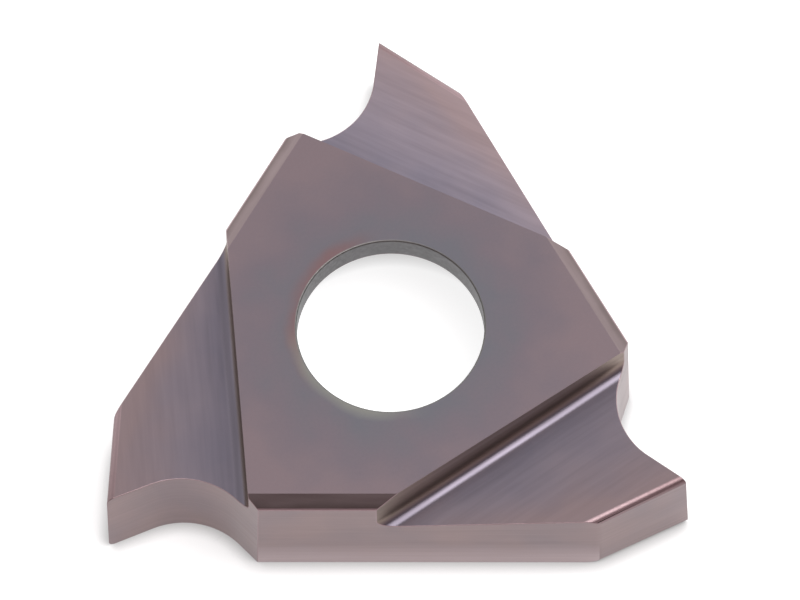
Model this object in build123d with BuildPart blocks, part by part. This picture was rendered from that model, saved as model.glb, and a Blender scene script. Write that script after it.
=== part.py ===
from build123d import *
from math import cos, radians, sin, tan
import os

# A three-cornered grooving insert of coated cemented carbide, ground from one pressed blank.
# All sizes are in millimetres and angles in degrees. The origin is on the axis of the screw
# hole, in the plateau face, and the flat back face is the thickness below it.

# The blank: an equilateral triangle, known by its inscribed circle.
INSCRIBED_CIRCLE = 9.525
THICKNESS = 3.18
CORNERS = 3

# The plateau's straight edges have a flat chamfer, honed where it meets the side.
CHAMFER_WIDTH = 0.35
CHAMFER_DEPTH = 0.20
CHAMFER_HONE = 0.08

# The screw hole: a short cylinder under the plateau, then a cone that opens to the back face.
HOLE_DIAMETER = 4.5
HOLE_RIM_RADIUS = 0.04
HOLE_LAND_DEPTH = 0.70
COUNTERSINK_ANGLE = 55.0

# Each corner is ground down to a shelf, and the step to the plateau is a straight wall.
# STEP_TURN is the wall's direction, counted from the side that the wall starts on.
STEP_TURN = 34.8
STEP_DISTANCE = 3.73
STEP_FOOT_RADIUS = 0.28

# The shelf leaves a tip as wide as the groove. It falls away behind the cutting edge.
TIP_WIDTH = 2.44
TIP_REACH = 3.36
TIP_OFFSET = 3.69
TIP_CORNER_RADIUS = 0.17
SIDE_CLEARANCE = 3.0
BACK_TAPER = 1.0

# The short flank in front of the tip, and the heel where it runs into the blank's side.
FLANK_CLEARANCE = 8.2
HEEL_RADIUS = 0.4

# The rake face is a straight land from the cutting edge and a hollow that curls the chip. It
# leans forward towards the back face.
RAKE_ANGLE = 18.7
RAKE_LAND = 1.14
SCOOP_RADIUS = 1.84
SCOOP_EXIT_ANGLE = 46.5
RAKE_LEAN = 1.5

# What the pressed blank has left at each tip for the wheel to take off.
GRINDING_ALLOWANCE = 0.6

corner_turn = 360 / CORNERS
side_distance = INSCRIBED_CIRCLE / 2
hole_radius = HOLE_DIAMETER / 2
cutter_length = 2 * INSCRIBED_CIRCLE


def heading(angle):
    """A unit vector in the plan, at an angle from the X axis."""
    return Vector(cos(radians(angle)), sin(radians(angle)))


def meet_side(start, direction, side_angle):
    """Where a line in the plan crosses the side of the blank that faces side_angle."""
    facing = heading(side_angle)
    travel = (side_distance - start.dot(facing)) / direction.dot(facing)
    return start + direction * travel


# The first side faces down the page, and the step wall of its corner starts on it.
first_side = -90
along_step = heading(STEP_TURN)
out_of_step = heading(STEP_TURN - 90)

# The plan of one corner, from the heel round the tip to the end of the scoop. It holds at the
# height of the tip's upper corner.
tip = along_step * TIP_OFFSET + out_of_step * (STEP_DISTANCE + TIP_REACH)
flank_heading = STEP_TURN + 180 - FLANK_CLEARANCE
along_flank = heading(flank_heading)
off_flank = heading(flank_heading + 90)
heel = meet_side(tip, along_flank, first_side)
rake_heading = STEP_TURN + 90 + RAKE_ANGLE
exit_heading = corner_turn - SCOOP_EXIT_ANGLE
land_end = tip + heading(rake_heading) * RAKE_LAND
scoop_centre = land_end + heading(rake_heading - 90) * SCOOP_RADIUS
scoop_end = scoop_centre + heading(exit_heading + 90) * SCOOP_RADIUS
next_side_start = meet_side(scoop_end, heading(exit_heading), first_side + corner_turn)

# The pressed blank runs on past the tip and past the start of the next side.
blank_tip = tip - along_flank * GRINDING_ALLOWANCE
blank_side_start = next_side_start - heading(corner_turn) * GRINDING_ALLOWANCE

# The shelf plane passes through the tip at the groove's width above the back face, and rises
# by shelf_slope, which is the side clearance along the step and the back taper out of it.
shelf_slope = along_step * tan(radians(SIDE_CLEARANCE)) + out_of_step * tan(radians(BACK_TAPER))
tip_on_shelf = tip + Vector(0, 0, TIP_WIDTH - THICKNESS)
wall_below_tip = tip_on_shelf - out_of_step * TIP_REACH
wall_foot = wall_below_tip - Vector(0, 0, TIP_REACH * shelf_slope.dot(out_of_step))
down_the_shelf = -along_step - Vector(0, 0, shelf_slope.dot(along_step))
shelf_profile_plane = Plane(origin=wall_foot, x_dir=out_of_step, z_dir=down_the_shelf)
shelf_rise = shelf_slope.dot(out_of_step) * cos(radians(SIDE_CLEARANCE))

# The grinding wheel's path over one corner: the step wall, its round foot and the shelf.
with BuildPart() as shelf_cutter:
    with BuildSketch(shelf_profile_plane) as shelf_profile:
        with BuildLine():
            Polyline(
                (0, THICKNESS),
                (0, 0),
                (cutter_length, cutter_length * shelf_rise),
                (cutter_length, THICKNESS),
                close=True,
            )
        make_face()
        foot = shelf_profile.vertices().sort_by_distance((0, 0, 0))[0]
        fillet(foot, radius=STEP_FOOT_RADIUS)
    extrude(amount=cutter_length, both=True)

# The wheel that grinds the rake land and the scoop.
up_the_rake = Vector(0, 0, 1) - along_step * tan(radians(RAKE_LEAN))
with BuildPart() as scoop_cutter:
    with BuildSketch(Plane.XY.offset(TIP_WIDTH - THICKNESS)):
        with BuildLine():
            past_tip = tip - heading(rake_heading) * SCOOP_RADIUS
            past_side = scoop_end + heading(exit_heading) * SCOOP_RADIUS
            rake_land = Line(past_tip, land_end)
            JernArc(
                start=rake_land @ 1,
                tangent=rake_land % 1,
                radius=SCOOP_RADIUS,
                arc_size=exit_heading - rake_heading,
            )
            Polyline(scoop_end, past_side, past_side + past_tip - land_end, past_tip)
        make_face()
    extrude(amount=THICKNESS, dir=up_the_rake, both=True)

# The wedge that leaves the flat chamfer along one side of the plateau.
with BuildPart() as chamfer_cutter:
    with BuildSketch(Plane.YZ):
        with BuildLine():
            Polyline(
                (2 * CHAMFER_WIDTH - side_distance, CHAMFER_DEPTH),
                (-CHAMFER_WIDTH - side_distance, -2 * CHAMFER_DEPTH),
                (-CHAMFER_WIDTH - side_distance, CHAMFER_DEPTH),
                close=True,
            )
        make_face()
    extrude(amount=cutter_length, both=True)


def corner_radius_cutter(edge_plane, face_rise):
    """What the wheel takes off one edge of the flank, whose other face rises by face_rise."""
    reach = 2 * TIP_CORNER_RADIUS
    with BuildPart() as cutter:
        with BuildSketch(edge_plane) as profile:
            with BuildLine():
                Polyline(
                    (0, 0),
                    (-reach, -reach * face_rise),
                    (-reach, reach),
                    (reach, reach),
                    (reach, -reach),
                    (0, -reach),
                    close=True,
                )
            make_face()
            edge = profile.vertices().sort_by_distance((0, 0, 0))[0]
            fillet(edge, radius=TIP_CORNER_RADIUS)
        extrude(amount=cutter_length, both=True)
    return cutter.part


# The tip's two corner radii are ground along the flank, one at the shelf and one at the back
# face, and run out on the blank's side past the heel.
flank_fall = shelf_slope.dot(along_flank)
shelf_edge_run = along_flank + Vector(0, 0, flank_fall)
shelf_edge_plane = Plane(origin=tip_on_shelf, x_dir=off_flank, z_dir=shelf_edge_run)
rise_off_flank = shelf_slope.dot(off_flank) / shelf_edge_run.length
shelf_corner_cutter = corner_radius_cutter(shelf_edge_plane, rise_off_flank)
tip_on_back = tip - Vector(0, 0, THICKNESS)
back_edge_plane = Plane(origin=tip_on_back, x_dir=off_flank, z_dir=-along_flank)
back_corner_cutter = corner_radius_cutter(back_edge_plane, 0)

# The insert itself.
with BuildPart() as grooving_insert:
    # The blank's outline is the same three times: side, heel, flank and the unground tip.
    with BuildSketch(Plane.XY.offset(-THICKNESS)):
        with BuildLine():
            for corner in range(CORNERS):
                turned = corner * corner_turn
                side_start = blank_side_start.rotate(Axis.Z, turned - corner_turn)
                corner_heel = heel.rotate(Axis.Z, turned)
                corner_tip = blank_tip.rotate(Axis.Z, turned)
                FilletPolyline(side_start, corner_heel, corner_tip, radius=HEEL_RADIUS)
                Line(corner_tip, blank_side_start.rotate(Axis.Z, turned))
        make_face()
    extrude(amount=THICKNESS)

    # The same five cuts are made at each corner.
    face_cutters = [scoop_cutter.part, chamfer_cutter.part, shelf_cutter.part]
    for cutter in [*face_cutters, shelf_corner_cutter, back_corner_cutter]:
        with PolarLocations(0, CORNERS):
            add(cutter, mode=Mode.SUBTRACT)

    # The hone where each chamfer meets its side, between the last scoop and the step wall.
    chamfer_start = next_side_start.rotate(Axis.Z, -corner_turn)
    chamfer_end = meet_side(out_of_step * STEP_DISTANCE, along_step, first_side)
    chamfer_middle = (chamfer_start + chamfer_end) / 2 - Vector(0, 0, CHAMFER_DEPTH)
    chamfer_edges = []
    for corner in range(CORNERS):
        near = chamfer_middle.rotate(Axis.Z, corner * corner_turn)
        chamfer_edges.append(grooving_insert.edges().sort_by_distance(near)[0])
    fillet(chamfer_edges, radius=CHAMFER_HONE)

    # The screw hole, turned about the axis: the land, the cone to the back face and the rim.
    with BuildSketch(Plane.XZ):
        with BuildLine():
            cone_growth = (THICKNESS - HOLE_LAND_DEPTH) * tan(radians(COUNTERSINK_ANGLE / 2))
            Polyline(
                (0, 0),
                (hole_radius, 0),
                (hole_radius, -HOLE_LAND_DEPTH),
                (hole_radius + cone_growth, -THICKNESS),
                (0, -THICKNESS),
                close=True,
            )
        make_face()
    revolve(axis=Axis.Z, mode=Mode.SUBTRACT)
    rim = grooving_insert.edges().sort_by_distance((0, 0, 0))[0]
    fillet(rim, radius=HOLE_RIM_RADIUS)

grooving_insert.part.label = "grooving_insert"

os.makedirs("parts", exist_ok=True)
export_step(grooving_insert.part, "parts/grooving_insert.step")
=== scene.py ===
from math import atan, cos, degrees, pi, radians, sin, tan

import bmesh
import bpy
from mathutils import Matrix, Vector


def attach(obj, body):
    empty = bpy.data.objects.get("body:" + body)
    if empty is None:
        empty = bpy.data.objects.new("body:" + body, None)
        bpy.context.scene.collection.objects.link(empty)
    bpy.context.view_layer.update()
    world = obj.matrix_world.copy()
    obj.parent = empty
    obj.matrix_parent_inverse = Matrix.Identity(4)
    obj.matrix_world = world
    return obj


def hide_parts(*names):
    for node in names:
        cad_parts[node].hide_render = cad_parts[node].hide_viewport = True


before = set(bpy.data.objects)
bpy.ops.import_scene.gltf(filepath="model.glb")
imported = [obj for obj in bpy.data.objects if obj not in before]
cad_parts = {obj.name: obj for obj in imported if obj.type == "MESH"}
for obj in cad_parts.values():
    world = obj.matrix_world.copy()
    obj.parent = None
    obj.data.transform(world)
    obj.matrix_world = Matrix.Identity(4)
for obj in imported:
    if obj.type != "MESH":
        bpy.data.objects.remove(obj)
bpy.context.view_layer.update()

# The camera. A long lens, 0.4 m from the insert and 65 degrees above the floor, so the
# plateau is seen a little foreshortened and the front side shows under its edge.
camera_data = bpy.data.cameras.new("long_lens")
camera_data.sensor_width = 36
camera_data.lens = 746.82
camera_data.clip_start = 0.05
camera_data.clip_end = 20
camera = bpy.data.objects.new("camera", camera_data)
camera.location = (0.0046467, -0.1694264, 0.3591363)
camera.rotation_euler = (radians(25.3476), radians(0.5658), radians(0.2945))
bpy.context.scene.collection.objects.link(camera)
bpy.context.scene.camera = camera

# The insert is one piece of cemented carbide: a triangular blank, pressed and sintered, then
# ground at its three corners, honed and coated. The same steps are taken here in that order.
# Sizes are in millimetres and angles in degrees until the finished mesh is scaled to metres.

# The blank: an equilateral triangle around an inscribed circle, with the same corner three
# times. It is pressed to shape, and stands past each tip by what the wheels will take off.
INSCRIBED_CIRCLE = 9.525
THICKNESS = 3.18
CORNERS = 3
GRINDING_ALLOWANCE = 0.6
corner_turn = 360 / CORNERS
side_distance = INSCRIBED_CIRCLE / 2
first_side = -90

# The corner: the tip, its flank and heel, the rake land and the scoop that curls the chip.
STEP_TURN = 34.8
STEP_DISTANCE = 3.73
TIP_REACH = 3.36
TIP_OFFSET = 3.69
FLANK_CLEARANCE = 8.2
HEEL_RADIUS = 0.4
RAKE_ANGLE = 18.7
RAKE_LAND = 1.14
SCOOP_RADIUS = 1.84
SCOOP_EXIT_ANGLE = 46.5
SCOOP_STEPS = 36
HEEL_STEPS = 8


def heading(angle):
    """A unit vector in the plan, at an angle from the X axis."""
    return Vector((cos(radians(angle)), sin(radians(angle)), 0))


def turned(points, corner):
    """Points or directions of the first corner, turned to another one."""
    turn = Matrix.Rotation(radians(corner * corner_turn), 3, "Z")
    return [turn @ point for point in points]


def arc(centre, radius, start, end, steps):
    return [centre + heading(start + (end - start) * i / steps) * radius for i in range(steps + 1)]


def meet_side(start, direction, side_angle):
    """Where a line in the plan crosses the side of the blank that faces side_angle."""
    facing = heading(side_angle)
    return start + direction * ((side_distance - start.dot(facing)) / direction.dot(facing))


along_step = heading(STEP_TURN)
out_of_step = heading(STEP_TURN - 90)
tip = along_step * TIP_OFFSET + out_of_step * (STEP_DISTANCE + TIP_REACH)
flank_heading = STEP_TURN + 180 - FLANK_CLEARANCE
along_flank = heading(flank_heading)
off_flank = heading(flank_heading + 90)
heel = meet_side(tip, along_flank, first_side)
heel_turn = flank_heading - 180
heel_centre = heel + Vector((-HEEL_RADIUS * tan(radians(heel_turn / 2)), HEEL_RADIUS, 0))
heel_arc = arc(heel_centre, HEEL_RADIUS, first_side, first_side + heel_turn, HEEL_STEPS)
rake_heading = STEP_TURN + 90 + RAKE_ANGLE
exit_heading = corner_turn - SCOOP_EXIT_ANGLE
land_end = tip + heading(rake_heading) * RAKE_LAND
scoop_centre = land_end + heading(rake_heading - 90) * SCOOP_RADIUS
scoop = arc(scoop_centre, SCOOP_RADIUS, rake_heading + 90, exit_heading + 90, SCOOP_STEPS)
next_side_start = meet_side(scoop[-1], heading(exit_heading), first_side + corner_turn)
blank_tip = tip - along_flank * GRINDING_ALLOWANCE
blank_side_start = next_side_start - heading(corner_turn) * GRINDING_ALLOWANCE
blank_corner = [*heel_arc, blank_tip, blank_side_start]


def bar(name, profile, across, up, along, origin, start, end, finishes):
    """A closed profile of (across, up) points, drawn along a direction from start to end.

    The first finish is for the ends and the last for the faces that are drawn.
    """
    mesh = bmesh.new()
    rings = []
    for reach in (start, end):
        place = origin + along * reach
        rings.append([mesh.verts.new(place + across * a + up * b) for a, b in profile])
    count = len(profile)
    mesh.faces.new(rings[0])
    mesh.faces.new(rings[1])
    for i in range(count):
        j = (i + 1) % count
        drawn = mesh.faces.new((rings[0][i], rings[0][j], rings[1][j], rings[1][i]))
        drawn.material_index = len(finishes) - 1
    bmesh.ops.recalc_face_normals(mesh, faces=mesh.faces)
    data = bpy.data.meshes.new(name)
    mesh.to_mesh(data)
    mesh.free()
    for finish in finishes:
        data.materials.append(finish)
    shape = bpy.data.objects.new(name, data)
    bpy.context.scene.collection.objects.link(shape)
    return shape


# The plateau and the back: cemented carbide lapped flat before it was coated, so satin, and
# without a lay. The coating is a film that thickens away from the hole, and its colour goes from
# violet grey to a warmer brown. The lapping grit is far finer than a pixel, so its grain is drawn
# about ten times as coarse as the real one.
LAPPED_GRAIN = 0.0833
LAPPED_CLOUDS = 1.25

# The hollows of a pattern are rougher than its peaks. No finish here goes below a roughness of
# 0.28, because a glossier one shows hard contours once the picture is denoised.
SATIN = 0.32
ROUGHNESS_SWING = 0.04

# Nearly all of a noise lies between these two values.
NOISE_LOW = 0.25
NOISE_HIGH = 0.75


def linear(code):
    """An sRGB hex colour as the linear RGBA that Blender's sockets take."""
    channels = [int(code[i : i + 2], 16) / 255 for i in (0, 2, 4)]
    return [c / 12.92 if c <= 0.04045 else ((c + 0.055) / 1.055) ** 2.4 for c in channels] + [1]


def add(nodes, kind, inputs=None, stops=(), **settings):
    """Adds a node with its settings; an input is a value, or the socket that feeds it.

    The stops of a colour ramp are (position, hex colour).
    """
    node = nodes.new(kind)
    for name, value in settings.items():
        setattr(node, name, value)
    for name, value in (inputs or {}).items():
        if isinstance(value, bpy.types.NodeSocket):
            nodes.id_data.links.new(value, node.inputs[name])
        else:
            node.inputs[name].default_value = value
    for i, (position, code) in enumerate(stops):
        colours = node.color_ramp.elements
        colour = colours[i] if i < len(colours) else colours.new(1.0)
        colour.position = position
        colour.color = linear(code)
    return node


def coated_carbide(name, roughness):
    """A bare metal finish: the material, its nodes, its shader and the place on it in mm."""
    finish = bpy.data.materials.new(name)
    finish.use_nodes = True
    nodes = finish.node_tree.nodes
    nodes.clear()
    shader = add(nodes, "ShaderNodeBsdfPrincipled", {"Metallic": 1.0, "Roughness": roughness})
    add(nodes, "ShaderNodeOutputMaterial", {"Surface": shader.outputs[0]})
    place = add(nodes, "ShaderNodeTexCoord").outputs["Object"]
    place = add(nodes, "ShaderNodeVectorMath", {0: place, "Scale": 1000.0}, operation="SCALE")
    return finish, nodes, shader, place.outputs[0]


def surface_texture(nodes, shader, tint, height, contrast, depth):
    """Joins a height pattern to a finish: lighter peaks, rougher hollows and a depth in mm."""
    rough = shader.inputs["Roughness"].default_value
    peaks, hollows = [
        add(
            nodes,
            "ShaderNodeMapRange",
            {"Value": height, "From Min": NOISE_LOW, "From Max": NOISE_HIGH, "To Min": low, "To Max": high},
        ).outputs["Result"]
        for low, high in (
            (1 - contrast, 1 + contrast),
            (rough + ROUGHNESS_SWING, rough - ROUGHNESS_SWING),
        )
    ]
    tint = add(nodes, "ShaderNodeVectorMath", {0: tint, "Scale": peaks}, operation="SCALE")
    bump = add(nodes, "ShaderNodeBump", {"Distance": depth * 0.001, "Height": height})
    links = nodes.id_data.links
    links.new(tint.outputs[0], shader.inputs["Base Color"])
    links.new(hollows, shader.inputs["Roughness"])
    links.new(bump.outputs[0], shader.inputs["Normal"])


lapped_face, nodes, shader, place_mm = coated_carbide("lapped_coated_face", SATIN)
flat_mm = add(nodes, "ShaderNodeVectorMath", {0: place_mm, 1: (1, 1, 0)}, operation="MULTIPLY").outputs[0]
from_axis = add(nodes, "ShaderNodeVectorMath", {0: flat_mm}, operation="LENGTH").outputs["Value"]
clouds = add(
    nodes, "ShaderNodeTexNoise", {"Vector": place_mm, "Scale": 1 / LAPPED_CLOUDS, "Detail": 3.0}
).outputs["Fac"]
grain = add(
    nodes, "ShaderNodeTexNoise", {"Vector": place_mm, "Scale": 1 / LAPPED_GRAIN, "Detail": 2.0}
).outputs["Fac"]
drift = add(nodes, "ShaderNodeMath", {0: clouds, 1: 3.0, 2: from_axis}, operation="MULTIPLY_ADD").outputs[0]
film = add(nodes, "ShaderNodeMapRange", {"Value": drift, "From Min": 3.6, "From Max": 6.6}).outputs["Result"]
lapped_tints = [(0.0, "5B595F"), (0.45, "62595F"), (0.9, "6A5D61")]
tint = add(nodes, "ShaderNodeValToRGB", {"Fac": film}, stops=lapped_tints).outputs["Color"]

# Two patches by the rim of the hole: a reddish stain on its left, and a pale grey one at its lower
# left, a painted sheen where the near side of the rim catches the light. Each has the way it lies
# from the axis, how far out that way it starts and is full, how much its outer edge wanders, the
# distances from the axis over which that edge fades, how it fades, and its colour.
rim_stain_and_sheen = (
    ((-0.94, 0.34, 0), (0.9, 2.0), 0.8, (2.65, 3.05), "SMOOTHSTEP", "665254"),
    # The second patch is a painted sheen on the near side of the rim.
    ((-0.57, -0.82, 0), (1.2, 2.3), 0.3, (2.4, 2.68), "LINEAR", "706F6A"),
)
for facing, (start, full), wander, (inner, outer), fade, code in rim_stain_and_sheen:
    this_way = add(nodes, "ShaderNodeVectorMath", {0: flat_mm, 1: facing}, operation="DOT_PRODUCT")
    on_side = add(
        nodes,
        "ShaderNodeMapRange",
        {"Value": this_way.outputs["Value"], "From Min": start, "From Max": full},
        interpolation_type="SMOOTHSTEP",
    ).outputs["Result"]
    reach = add(nodes, "ShaderNodeMath", {0: clouds, 1: wander, 2: from_axis}, operation="MULTIPLY_ADD")
    by_rim = add(
        nodes,
        "ShaderNodeMapRange",
        {"Value": reach.outputs[0], "From Min": inner, "From Max": outer, "To Min": 1.0, "To Max": 0.0},
        interpolation_type=fade,
    ).outputs["Result"]
    patch = add(nodes, "ShaderNodeMath", {0: on_side, 1: by_rim}, operation="MULTIPLY").outputs[0]
    tint = add(nodes, "ShaderNodeMix", {0: patch, 6: tint, 7: linear(code)}, data_type="RGBA").outputs[2]
surface_texture(nodes, shader, tint, grain, 0.025, 0.0002)

# The sides: ground by a wheel that passes along them, which leaves level lines. The foot of each
# straight side is paler, in a band along the bottom. The lines are drawn several times as coarse
# as the wheel's grit, or they would not show.
GROUND_LINE_SPACING = 0.0714
GROUND_LINE_LENGTH = 2.86
GROUND_CLOUDS = 1.43
PALE_FOOT_HEIGHT = 0.45
FOOT_WANDER = 0.3
FOOT_FADE_BELOW = 0.22
FOOT_FADE_ABOVE = 0.6
ground_side, nodes, shader, place_mm = coated_carbide("ground_coated_side", SATIN)
line_scale = (1 / GROUND_LINE_LENGTH, 1 / GROUND_LINE_LENGTH, 1 / GROUND_LINE_SPACING)
lay = add(nodes, "ShaderNodeVectorMath", {0: place_mm, 1: line_scale}, operation="MULTIPLY").outputs[0]
lines = add(nodes, "ShaderNodeTexNoise", {"Vector": lay, "Scale": 1.0, "Detail": 3.0}).outputs["Fac"]
clouds = add(
    nodes, "ShaderNodeTexNoise", {"Vector": place_mm, "Scale": 1 / GROUND_CLOUDS, "Detail": 2.0}
).outputs["Fac"]
height = add(nodes, "ShaderNodeSeparateXYZ", {"Vector": place_mm}).outputs["Z"]
edge = add(nodes, "ShaderNodeMath", {0: clouds, 1: FOOT_WANDER, 2: height}, operation="MULTIPLY_ADD")
foot_top = PALE_FOOT_HEIGHT - THICKNESS + FOOT_WANDER / 2
foot_fade = {"From Min": foot_top - FOOT_FADE_BELOW, "From Max": foot_top + FOOT_FADE_ABOVE}
pale_foot = add(
    nodes,
    "ShaderNodeMapRange",
    {"Value": edge.outputs[0], **foot_fade, "To Min": 1.0, "To Max": 0.0},
).outputs["Result"]
straight = add(nodes, "ShaderNodeAttribute", attribute_name="straight_side").outputs["Fac"]
pale_foot = add(nodes, "ShaderNodeMath", {0: pale_foot, 1: straight}, operation="MULTIPLY").outputs[0]
ground_tints = [(0.3, "7C6E71"), (0.7, "857373")]
tint = add(nodes, "ShaderNodeValToRGB", {"Fac": clouds}, stops=ground_tints).outputs["Color"]
tint = add(nodes, "ShaderNodeMix", {0: pale_foot, 6: tint, 7: linear("A09092")}, data_type="RGBA").outputs[2]
surface_texture(nodes, shader, tint, lines, 0.03, 0.0003)

east = Vector((1, 0, 0))
north = Vector((0, 1, 0))
upright = Vector((0, 0, 1))
centre = Vector((0, 0, 0))
plan = [(p.x, p.y) for corner in range(CORNERS) for p in turned(blank_corner, corner)]
insert = bar("insert", plan, east, north, upright, centre, -THICKNESS, 0, [lapped_face, ground_side])

# The chamfer along each straight side of the plateau, 30 degrees to it, ground in one pass with
# the small radius below it. The film browns from the plateau's tint down over it, and the fine
# lines run along the side. They are drawn coarser than the grit, as on the sides.
CHAMFER_WIDTH = 0.35
CHAMFER_DEPTH = 0.20
CHAMFER_HONE = 0.08
CHAMFER_HONE_STEPS = 8
CHAMFER_LINE_SPACING = 0.0455
CHAMFER_LINE_LENGTH = 2.0
CHAMFER_CLOUDS = 0.833
ground_chamfer, nodes, shader, place_mm = coated_carbide("ground_coated_chamfer", SATIN)
clouds = add(
    nodes, "ShaderNodeTexNoise", {"Vector": place_mm, "Scale": 1 / CHAMFER_CLOUDS, "Detail": 3.0}
).outputs["Fac"]
line_scale = (1 / CHAMFER_LINE_LENGTH, 1 / CHAMFER_LINE_LENGTH, 1 / CHAMFER_LINE_SPACING)
lay = add(nodes, "ShaderNodeVectorMath", {0: place_mm, 1: line_scale}, operation="MULTIPLY").outputs[0]
lines = add(nodes, "ShaderNodeTexNoise", {"Vector": lay, "Scale": 1.0, "Detail": 1.0}).outputs["Fac"]
height = add(nodes, "ShaderNodeSeparateXYZ", {"Vector": place_mm}).outputs["Z"]
drop = add(nodes, "ShaderNodeMath", {0: clouds, 1: 0.15, 2: height}, operation="MULTIPLY_ADD").outputs[0]
film = add(
    nodes,
    "ShaderNodeMapRange",
    {"Value": drop, "From Min": 0.02, "From Max": -0.1},
    interpolation_type="SMOOTHSTEP",
).outputs["Result"]
chamfer_tints = [(0.0, "6A5E5F"), (1.0, "5B5050")]
tint = add(nodes, "ShaderNodeValToRGB", {"Fac": film}, stops=chamfer_tints).outputs["Color"]
surface_texture(nodes, shader, tint, lines, 0.04, 0.0002)

# Every honed edge is pinker than the faces and less glossy. Its lighter tint is a painted highlight
# that brightens the shine on the edges, and it darkens away from the axis, towards the tips, a
# painted fade of that highlight. The brush's marks have no lay, and are drawn coarser than they are.
HONED = 0.38
HONED_GRAIN = 0.0714
HONED_CLOUDS = 0.5
honed_edge, nodes, shader, place_mm = coated_carbide("honed_coated_edge", HONED)
clouds = add(
    nodes, "ShaderNodeTexNoise", {"Vector": place_mm, "Scale": 1 / HONED_CLOUDS, "Detail": 3.0}
).outputs["Fac"]
grain = add(
    nodes, "ShaderNodeTexNoise", {"Vector": place_mm, "Scale": 1 / HONED_GRAIN, "Detail": 2.0}
).outputs["Fac"]
flat_mm = add(nodes, "ShaderNodeVectorMath", {0: place_mm, 1: (1, 1, 0)}, operation="MULTIPLY").outputs[0]
from_axis = add(nodes, "ShaderNodeVectorMath", {0: flat_mm}, operation="LENGTH").outputs["Value"]
# Away from the axis, towards the tips, the tint darkens: a painted fade of the flank's highlight.
drift = add(nodes, "ShaderNodeMath", {0: clouds, 1: 0.6, 2: from_axis}, operation="MULTIPLY_ADD").outputs[0]
film = add(nodes, "ShaderNodeMapRange", {"Value": drift, "From Min": 6.7, "From Max": 8.1}).outputs["Result"]
honed_tints_and_highlight_fade = [(0.0, "8C797C"), (1.0, "766365")]
tint = add(nodes, "ShaderNodeValToRGB", {"Fac": film}, stops=honed_tints_and_highlight_fade).outputs["Color"]
surface_texture(nodes, shader, tint, grain, 0.03, 0.0001)

chamfer_fall = atan(CHAMFER_DEPTH / CHAMFER_WIDTH)
hone_setback = CHAMFER_HONE * tan((radians(90) - chamfer_fall) / 2)
hone_bottom = -CHAMFER_DEPTH - hone_setback
hone_centre = Vector((side_distance - CHAMFER_HONE, hone_bottom, 0))
hone_arc = arc(hone_centre, CHAMFER_HONE, 90 - degrees(chamfer_fall), 0, CHAMFER_HONE_STEPS)
chamfer_profile = [
    (side_distance - 2 * CHAMFER_WIDTH, CHAMFER_DEPTH),
    *[(p.x, p.y) for p in hone_arc],
    (side_distance + CHAMFER_WIDTH, hone_bottom),
    (side_distance + CHAMFER_WIDTH, CHAMFER_DEPTH),
]
wheel_reach = 2 * INSCRIBED_CIRCLE
span = (-wheel_reach, wheel_reach)

# The wheel's faces are its two ends, the flat of the chamfer and then the hone.
hone_start = 3
hone_end = hone_start + CHAMFER_HONE_STEPS
cuts = []
for corner in range(CORNERS):
    facing, along = turned([heading(first_side), heading(first_side - 90)], corner)
    wheel = bar("chamfer_wheel", chamfer_profile, facing, upright, along, centre, *span, [ground_chamfer])
    wheel.data.materials.append(honed_edge)
    for face in wheel.data.polygons[hone_start:hone_end]:
        face.material_index = 1
    cuts.append(wheel)

# The shelf, ground by a wheel that passes along the step. Its corner leaves the round foot, and
# its grit fine lines along its travel, drawn here coarse enough to show. The film is violet by
# the step and turns to a pinkish brown towards the cutting edge.
STEP_FOOT_RADIUS = 0.28
STEP_FOOT_STEPS = 32
TIP_WIDTH = 2.44
SIDE_CLEARANCE = 3.0
BACK_TAPER = 1.0
SHELF_LINE_SPACING = 0.143
SHELF_LINE_LENGTH = 5.0
SHELF_CLOUDS = 1.25
ground_shelf, nodes, shader, place_mm = coated_carbide("ground_coated_shelf", SATIN)

# Every corner's shelf is turned back to the first one's, so X runs along the step and -Y out of it.
wheel_travel = add(nodes, "ShaderNodeAttribute", attribute_name="wheel_travel").outputs["Fac"]
travel_mm = add(
    nodes,
    "ShaderNodeVectorRotate",
    {"Vector": place_mm, "Angle": wheel_travel},
    rotation_type="Z_AXIS",
    invert=True,
).outputs[0]
beside = add(nodes, "ShaderNodeSeparateXYZ", {"Vector": travel_mm}).outputs["Y"]
clouds = add(
    nodes, "ShaderNodeTexNoise", {"Vector": place_mm, "Scale": 1 / SHELF_CLOUDS, "Detail": 3.0}
).outputs["Fac"]
drift = add(nodes, "ShaderNodeMath", {0: clouds, 1: -1.6, 2: beside}, operation="MULTIPLY_ADD").outputs[0]
near_step = -STEP_DISTANCE - 0.8
film = add(
    nodes,
    "ShaderNodeMapRange",
    {"Value": drift, "From Min": near_step, "From Max": near_step - TIP_REACH},
).outputs["Result"]

# The film is thicker next to the blank's side.
side_facing = heading(first_side - STEP_TURN)
to_side = add(nodes, "ShaderNodeVectorMath", {0: travel_mm, 1: side_facing}, operation="DOT_PRODUCT")
to_side = add(
    nodes,
    "ShaderNodeMapRange",
    {"Value": to_side.outputs["Value"], "From Min": 3.8, "From Max": side_distance, "To Max": 0.3},
    interpolation_type="SMOOTHSTEP",
).outputs["Result"]
film = add(nodes, "ShaderNodeMath", {0: film, 1: to_side}, operation="ADD").outputs[0]
shelf_tints = [(0.05, "5B5660"), (0.45, "685F66"), (0.92, "726365")]
tint = add(nodes, "ShaderNodeValToRGB", {"Fac": film}, stops=shelf_tints).outputs["Color"]
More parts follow.
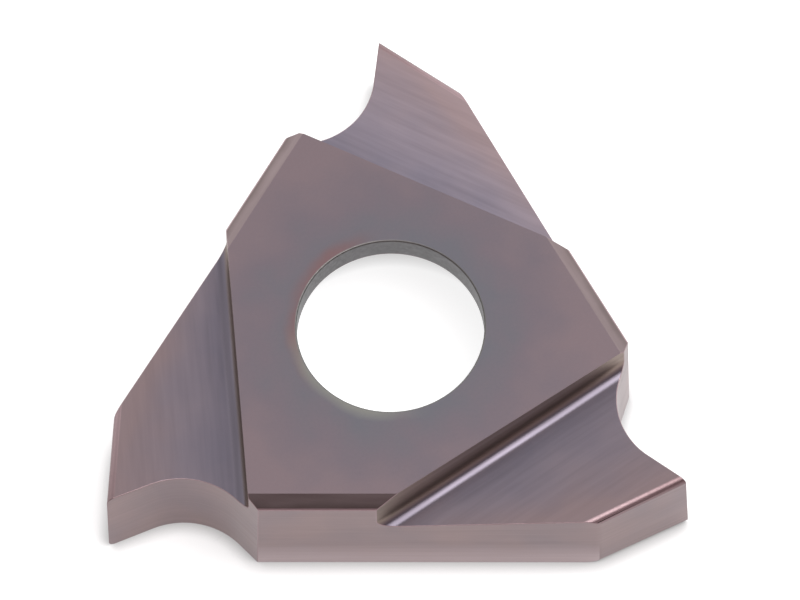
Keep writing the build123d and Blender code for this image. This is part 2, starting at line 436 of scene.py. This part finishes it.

# The foot's tint is lighter, a painted highlight that brightens the shine along the step's foot.
# The step's wall is browner, and darker towards the blank's side, a painted shade that dims the
# reflections there; it is duller, because the wheel only rubbed on it.
WALL_DULLNESS = 0.13
foot_and_wall = [
    add(
        nodes,
        "ShaderNodeMapRange",
        {"Value": beside, "From Min": -STEP_DISTANCE - start, "From Max": -STEP_DISTANCE - full},
        interpolation_type="SMOOTHSTEP",
    ).outputs["Result"]
    for start, full in ((0.36, 0.26), (0.12, 0.0))
]
foot_sheen, on_wall = foot_and_wall
# Painted highlight: the foot's tint is lightened.
tint = add(nodes, "ShaderNodeMix", {0: foot_sheen, 6: tint, 7: linear("625C65")}, data_type="RGBA").outputs[2]
# Painted shade: the wall darkens towards the blank's side.
wall_tint_and_shade = add(nodes, "ShaderNodeMix", {0: to_side, 6: linear("86776F"), 7: linear("2E2624")}, data_type="RGBA")
tint = add(nodes, "ShaderNodeMix", {0: on_wall, 6: tint, 7: wall_tint_and_shade.outputs[2]}, data_type="RGBA").outputs[2]
line_scale = (1 / SHELF_LINE_LENGTH, 1 / SHELF_LINE_SPACING, 1 / SHELF_LINE_SPACING)
lay = add(nodes, "ShaderNodeVectorMath", {0: travel_mm, 1: line_scale}, operation="MULTIPLY").outputs[0]
lines = add(nodes, "ShaderNodeTexNoise", {"Vector": lay, "Scale": 1.0, "Detail": 2.0}).outputs["Fac"]
surface_texture(nodes, shader, tint, lines, 0.1, 0.0001)
rough = shader.inputs["Roughness"].links[0].from_socket
rough = add(nodes, "ShaderNodeMath", {0: on_wall, 1: WALL_DULLNESS, 2: rough}, operation="MULTIPLY_ADD")
nodes.id_data.links.new(rough.outputs[0], shader.inputs["Roughness"])

shelf_slope = along_step * tan(radians(SIDE_CLEARANCE)) + out_of_step * tan(radians(BACK_TAPER))
tip_height = upright * (TIP_WIDTH - THICKNESS)
tip_on_shelf = tip + tip_height
rise_out_of_step = shelf_slope.dot(out_of_step)
wall_foot = tip_on_shelf - out_of_step * TIP_REACH - upright * (TIP_REACH * rise_out_of_step)
down_shelf = (-along_step - upright * shelf_slope.dot(along_step)).normalized()
shelf_rise = rise_out_of_step * cos(radians(SIDE_CLEARANCE))
shelf_tilt = degrees(atan(shelf_rise))
foot_rise = STEP_FOOT_RADIUS * (shelf_rise + 1 / cos(radians(shelf_tilt)))
foot_centre = Vector((STEP_FOOT_RADIUS, foot_rise, 0))
foot = arc(foot_centre, STEP_FOOT_RADIUS, 180, 270 + shelf_tilt, STEP_FOOT_STEPS)
shelf_profile = [
    (0, THICKNESS),
    *[(p.x, p.y) for p in foot],
    (wheel_reach, wheel_reach * shelf_rise),
    (wheel_reach, THICKNESS),
]
for corner in range(CORNERS):
    across, along, place = turned([out_of_step, down_shelf, wall_foot], corner)
    up = along.cross(across)
    cuts.append(bar("shelf_wheel", shelf_profile, across, up, along, place, *span, [ground_shelf]))

# The rake land and the scoop, ground by a formed wheel. They lean forward towards the back face,
# and have the finish of the sides.
RAKE_LEAN = 1.5
up_the_rake = upright - along_step * tan(radians(RAKE_LEAN))
past_tip = tip - heading(rake_heading) * SCOOP_RADIUS
past_side = scoop[-1] + heading(exit_heading) * SCOOP_RADIUS
outside = past_side + past_tip - land_end
scoop_profile = [(p.x, p.y) for p in (past_tip, *scoop, past_side, outside)]
through = (-THICKNESS, THICKNESS)
for corner in range(CORNERS):
    across, up, along = turned([east, north, up_the_rake], corner)
    cuts.append(bar("scoop_wheel", scoop_profile, across, up, along, tip_height, *through, [ground_side]))

# The tip's two corner radii, at the shelf and at the back face, ground along the flank and
# honed, so they shine.
TIP_CORNER_RADIUS = 0.17
TIP_CORNER_STEPS = 10


def edge_rounding(name, place, across, along, rise):
    """A wheel that rounds the edge at place, between a face that rises and an upright one."""
    up = along.cross(across)
    middle = (-TIP_CORNER_RADIUS, -TIP_CORNER_RADIUS / cos(rise) - TIP_CORNER_RADIUS * tan(rise))
    past_edge = 2 * TIP_CORNER_RADIUS
    profile = [(past_edge, middle[1])]
    for i in range(TIP_CORNER_STEPS + 1):
        swing = (radians(90) + rise) * i / TIP_CORNER_STEPS
        a = middle[0] + TIP_CORNER_RADIUS * cos(swing)
        b = middle[1] + TIP_CORNER_RADIUS * sin(swing)
        profile.append((a, b))
    profile += [(a, past_edge), (past_edge, past_edge)]
    return bar(name, profile, across, up, along, place, *span, [honed_edge])


flank_run = (along_flank + upright * shelf_slope.dot(along_flank)).normalized()
rise_off_flank = shelf_slope.dot(off_flank)
for corner in range(CORNERS):
    place, across, along = turned([tip_on_shelf, off_flank, flank_run], corner)
    cuts.append(edge_rounding("tip_hone", place, across, along, rise_off_flank))
    place, across, along = turned([tip - upright * THICKNESS, off_flank, -along_flank], corner)
    cuts.append(edge_rounding("tip_hone", place, across, along, 0))

# The screw hole: the rounded rim, a short land and the cone that opens to the back face. It is
# left as it was pressed and sintered, so it is rougher, a duller and more neutral grey, and has
# the powder's grain, which is drawn coarse enough to show.
HOLE_RADIUS = 2.25
HOLE_RIM_RADIUS = 0.04
HOLE_RIM_STEPS = 6
HOLE_LAND_DEPTH = 0.70
COUNTERSINK_ANGLE = 55.0
HOLE_STEPS = 160
SINTERED = 0.45
SINTERED_GRAIN = 0.1
SINTERED_CLOUDS = 0.667
sintered_bore, nodes, shader, place_mm = coated_carbide("sintered_coated_bore", SINTERED)
clouds = add(
    nodes, "ShaderNodeTexNoise", {"Vector": place_mm, "Scale": 1 / SINTERED_CLOUDS, "Detail": 3.0}
).outputs["Fac"]
grain = add(
    nodes, "ShaderNodeTexNoise", {"Vector": place_mm, "Scale": 1 / SINTERED_GRAIN, "Detail": 3.0}
).outputs["Fac"]
height = add(nodes, "ShaderNodeSeparateXYZ", {"Vector": place_mm}).outputs["Z"]
on_rim = add(
    nodes,
    "ShaderNodeMapRange",
    {"Value": height, "From Min": -2 * HOLE_RIM_RADIUS, "From Max": 0.0},
    interpolation_type="SMOOTHSTEP",
).outputs["Result"]
bore_tints = [(0.3, "686668"), (0.7, "626162")]
tint = add(nodes, "ShaderNodeValToRGB", {"Fac": clouds}, stops=bore_tints).outputs["Color"]
tint = add(nodes, "ShaderNodeMix", {0: on_rim, 6: tint, 7: linear("646261")}, data_type="RGBA").outputs[2]
surface_texture(nodes, shader, tint, grain, 0.1, 0.002)

cone_radius = HOLE_RADIUS + (THICKNESS - HOLE_LAND_DEPTH) * tan(radians(COUNTERSINK_ANGLE / 2))
rim_centre = Vector((HOLE_RADIUS + HOLE_RIM_RADIUS, -HOLE_RIM_RADIUS, 0))
hole_profile = [
    (HOLE_RADIUS + 2 * HOLE_RIM_RADIUS, HOLE_RIM_RADIUS),
    *[(p.x, p.y) for p in arc(rim_centre, HOLE_RIM_RADIUS, 90, 180, HOLE_RIM_STEPS)],
    (HOLE_RADIUS, -HOLE_LAND_DEPTH),
    (cone_radius, -THICKNESS),
    (cone_radius, -THICKNESS - HOLE_RADIUS),
]
mesh = bmesh.new()
rings = []
for ring_radius, ring_height in hole_profile:
    ring = [heading(360 * i / HOLE_STEPS) * ring_radius for i in range(HOLE_STEPS)]
    rings.append([mesh.verts.new(point + upright * ring_height) for point in ring])
mesh.faces.new(rings[0])
mesh.faces.new(rings[-1])
for upper, lower in zip(rings, rings[1:]):
    for i in range(HOLE_STEPS):
        j = (i + 1) % HOLE_STEPS
        mesh.faces.new((upper[i], upper[j], lower[j], lower[i]))
bmesh.ops.recalc_face_normals(mesh, faces=mesh.faces)
data = bpy.data.meshes.new("hole")
mesh.to_mesh(data)
mesh.free()
data.materials.append(sintered_bore)
hole = bpy.data.objects.new("hole", data)
bpy.context.scene.collection.objects.link(hole)
cuts.append(hole)

# The blank is cut. Each cut keeps the finish of the tool that made it.
for cut in cuts:
    step = insert.modifiers.new(cut.name, "BOOLEAN")
    step.operation = "DIFFERENCE"
    step.solver = "EXACT"
    step.material_mode = "TRANSFER"
    step.object = cut


def finished_mesh(shape):
    """Applies the modifiers of a shape and gives its new mesh."""
    bpy.context.view_layer.update()
    shown = shape.evaluated_get(bpy.context.evaluated_depsgraph_get())
    data = bpy.data.meshes.new_from_object(shown)
    shape.modifiers.clear()
    shape.data = data
    return data


data = finished_mesh(insert)
for cut in cuts:
    bpy.data.objects.remove(cut)

# Honing breaks the ground edges by a hundredth of a millimetre or two. The plateau's own edges
# were cut last and stay sharp.
EDGE_HONE = 0.015
EDGE_HONE_SEGMENTS = 3
SHARP_EDGE_ANGLE = 20
FLAT_ANGLE = 0.05
FACE_TOLERANCE = 0.002
mesh = bmesh.new()
mesh.from_mesh(data)
bmesh.ops.remove_doubles(mesh, verts=mesh.verts, dist=FACE_TOLERANCE)
bmesh.ops.dissolve_limit(
    mesh, angle_limit=radians(FLAT_ANGLE), verts=mesh.verts, edges=mesh.edges, delimit={"MATERIAL"}
)
honing = mesh.edges.layers.float.new("bevel_weight_edge")
for edge in mesh.edges:
    corner_angle = degrees(edge.calc_face_angle())
    on_plateau = all(abs(vert.co.z) < FACE_TOLERANCE for vert in edge.verts)
    edge.smooth = corner_angle < SHARP_EDGE_ANGLE or not on_plateau
    edge[honing] = float(corner_angle >= SHARP_EDGE_ANGLE and not on_plateau)
mesh.to_mesh(data)
mesh.free()
hone = insert.modifiers.new("hone", "BEVEL")
hone.width = EDGE_HONE
hone.segments = EDGE_HONE_SEGMENTS
hone.limit_method = "WEIGHT"
hone.use_clamp_overlap = False
hone.material = data.materials.find(honed_edge.name)
level = insert.modifiers.new("level", "WEIGHTED_NORMAL")
level.keep_sharp = True
level.weight = 60
data = finished_mesh(insert)

# What the finishes need to know of each face: which way the shelf's wheel went past it, as an
# angle, and whether it lies on a straight side.
travel = data.attributes.new("wheel_travel", "FLOAT", "FACE")
straight = data.attributes.new("straight_side", "FLOAT", "FACE")
for face in data.polygons:
    corner = max(range(CORNERS), key=lambda k: turned([out_of_step], k)[0].dot(face.center))
    travel.data[face.index].value = radians(STEP_TURN + corner * corner_turn)
    from_centre = max(turned([heading(first_side)], k)[0].dot(face.center) for k in range(CORNERS))
    straight.data[face.index].value = float(from_centre > side_distance - EDGE_HONE)
data.transform(Matrix.Scale(0.001, 4))

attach(insert, "root")
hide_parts("grooving_insert")

# The floor: a wide sheet of opal acrylic on a light table, lit from above and from below, so
# only the shadow next to the insert shows on it. It lies a hair below the back face, so the two
# don't lie in one plane. From here on, sizes are in metres.
FLOOR_HALF = 2.0
CONTACT_REACH = 0.0004
floor_mesh = bpy.data.meshes.new("floor")
floor_z = -(THICKNESS + FACE_TOLERANCE) * 0.001
floor_corners = [(x * FLOOR_HALF, y * FLOOR_HALF, floor_z) for x, y in ((-1, -1), (1, -1), (1, 1), (-1, 1))]
floor_mesh.from_pydata(floor_corners, [], [(0, 1, 2, 3)])
floor = bpy.data.objects.new("floor", floor_mesh)
bpy.context.scene.collection.objects.link(floor)

# Inside the hole the floor's glow is painted brighter, a painted pool of light, and the shadow is
# weaker there. The shadow is left out of the insert's own reflection. Between the two distances
# from the origin, where the floor changes from inside the hole to outside, the insert hides it.
HOLE_LIGHT_END = 0.0050
OUTER_LIGHT_START = 0.0055
opal = bpy.data.materials.new("lit_opal_acrylic")
opal.use_nodes = True
nodes = opal.node_tree.nodes
nodes.clear()
contact = add(nodes, "ShaderNodeAmbientOcclusion", {"Distance": CONTACT_REACH}).outputs["AO"]
place = add(nodes, "ShaderNodeNewGeometry").outputs["Position"]
from_origin = add(nodes, "ShaderNodeVectorMath", {0: place}, operation="LENGTH").outputs["Value"]
change = {"From Min": HOLE_LIGHT_END, "From Max": OUTER_LIGHT_START}
in_hole = add(
    nodes, "ShaderNodeMapRange", {"Value": from_origin, **change, "To Min": 1.0, "To Max": 0.0}
).outputs["Result"]
mirrored = add(nodes, "ShaderNodeLightPath").outputs["Is Glossy Ray"]
even = add(nodes, "ShaderNodeMath", {0: in_hole, 1: 0.35, 2: 0.15}, operation="MULTIPLY_ADD").outputs[0]
even = add(nodes, "ShaderNodeMath", {0: even, 1: mirrored}, operation="MAXIMUM").outputs[0]
contact = add(nodes, "ShaderNodeMix", {0: even, 2: contact, 3: 1.0}, data_type="FLOAT").outputs[0]
white = add(nodes, "ShaderNodeMix", {0: contact, 6: linear("000000"), 7: linear("BCBCBC")}, data_type="RGBA")
diffuse = add(nodes, "ShaderNodeBsdfDiffuse", {"Color": white.outputs[2]}).outputs[0]
# Under the hole the glow is raised: a painted pool of light.
lamp = add(nodes, "ShaderNodeMath", {0: in_hole, 1: 0.26, 2: 0.58}, operation="MULTIPLY_ADD").outputs[0]
lamp = add(nodes, "ShaderNodeMath", {0: lamp, 1: contact}, operation="MULTIPLY").outputs[0]
backlight = add(nodes, "ShaderNodeEmission", {"Color": (1, 1, 1, 1), "Strength": lamp}).outputs[0]
surface = add(nodes, "ShaderNodeAddShader", {0: diffuse, 1: backlight})
add(nodes, "ShaderNodeOutputMaterial", {"Surface": surface.outputs[0]})
floor_mesh.materials.append(opal)

# The studio: white walls behind the insert that are brightest near the floor, a dim, warm room on
# the camera's side, a pale horizon all round, a glow on the ceiling and one large softbox
# overhead and to the right.
world = bpy.data.worlds.new("studio")
bpy.context.scene.world = world
world.use_nodes = True
nodes = world.node_tree.nodes
nodes.clear()
sky = add(nodes, "ShaderNodeTexCoord").outputs["Generated"]
toward = add(nodes, "ShaderNodeSeparateXYZ", {"Vector": sky})
overhead = add(
    nodes, "ShaderNodeVectorMath", {0: sky, 1: (0.22, 0.08, 0.97)}, operation="DOT_PRODUCT"
).outputs["Value"]
away = toward.outputs["Y"]
above = toward.outputs["Z"]

# Each of these changes smoothly with the direction of the sky: what it goes by, where the change
# starts and ends, and its values there.
behind, low, room, horizon, ceiling, warm = [
    add(
        nodes,
        "ShaderNodeMapRange",
        {"Value": by, "From Min": start, "From Max": end, "To Min": first, "To Max": last},
        interpolation_type="SMOOTHSTEP",
    ).outputs["Result"]
    for by, start, end, first, last in (
        (away, 0.35, 0.75, 0.0, 1.0),
        (above, 0.3, 0.8, 1.25, 0.6),
        (away, -0.45, 0.25, 0.31, 0.85),
        (above, 0.1, 0.6, 0.5, 0.0),
        (overhead, 0.84, 1.0, 0.0, 1.3),
        (away, -0.1, -0.4, 0.0, 1.0),
    )
]
strength = add(nodes, "ShaderNodeMath", {0: behind, 1: low}, operation="MULTIPLY").outputs[0]
for glow in (room, horizon, ceiling):
    strength = add(nodes, "ShaderNodeMath", {0: strength, 1: glow}, operation="ADD").outputs[0]
shade = add(nodes, "ShaderNodeMix", {0: warm, 6: (1, 1, 1, 1), 7: (1, 0.78, 0.79, 1)}, data_type="RGBA")
sky_light = add(nodes, "ShaderNodeBackground", {"Color": shade.outputs[2], "Strength": strength})
add(nodes, "ShaderNodeOutputWorld", {"Surface": sky_light.outputs[0]})

key_direction = Vector((0.36, -0.09, 0.93)).normalized()
key_distance = 1.0
key_size = 0.75
key_radiance = 4.0
key_data = bpy.data.lights.new("softbox", "AREA")
key_data.shape = "SQUARE"
key_data.size = key_size
key_data.energy = key_radiance * pi * key_size**2
key = bpy.data.objects.new("softbox", key_data)
key.location = key_direction * key_distance
key.rotation_euler = key_direction.to_track_quat("Z", "Y").to_euler()
bpy.context.scene.collection.objects.link(key)

bpy.context.scene.view_settings.view_transform = "Standard"
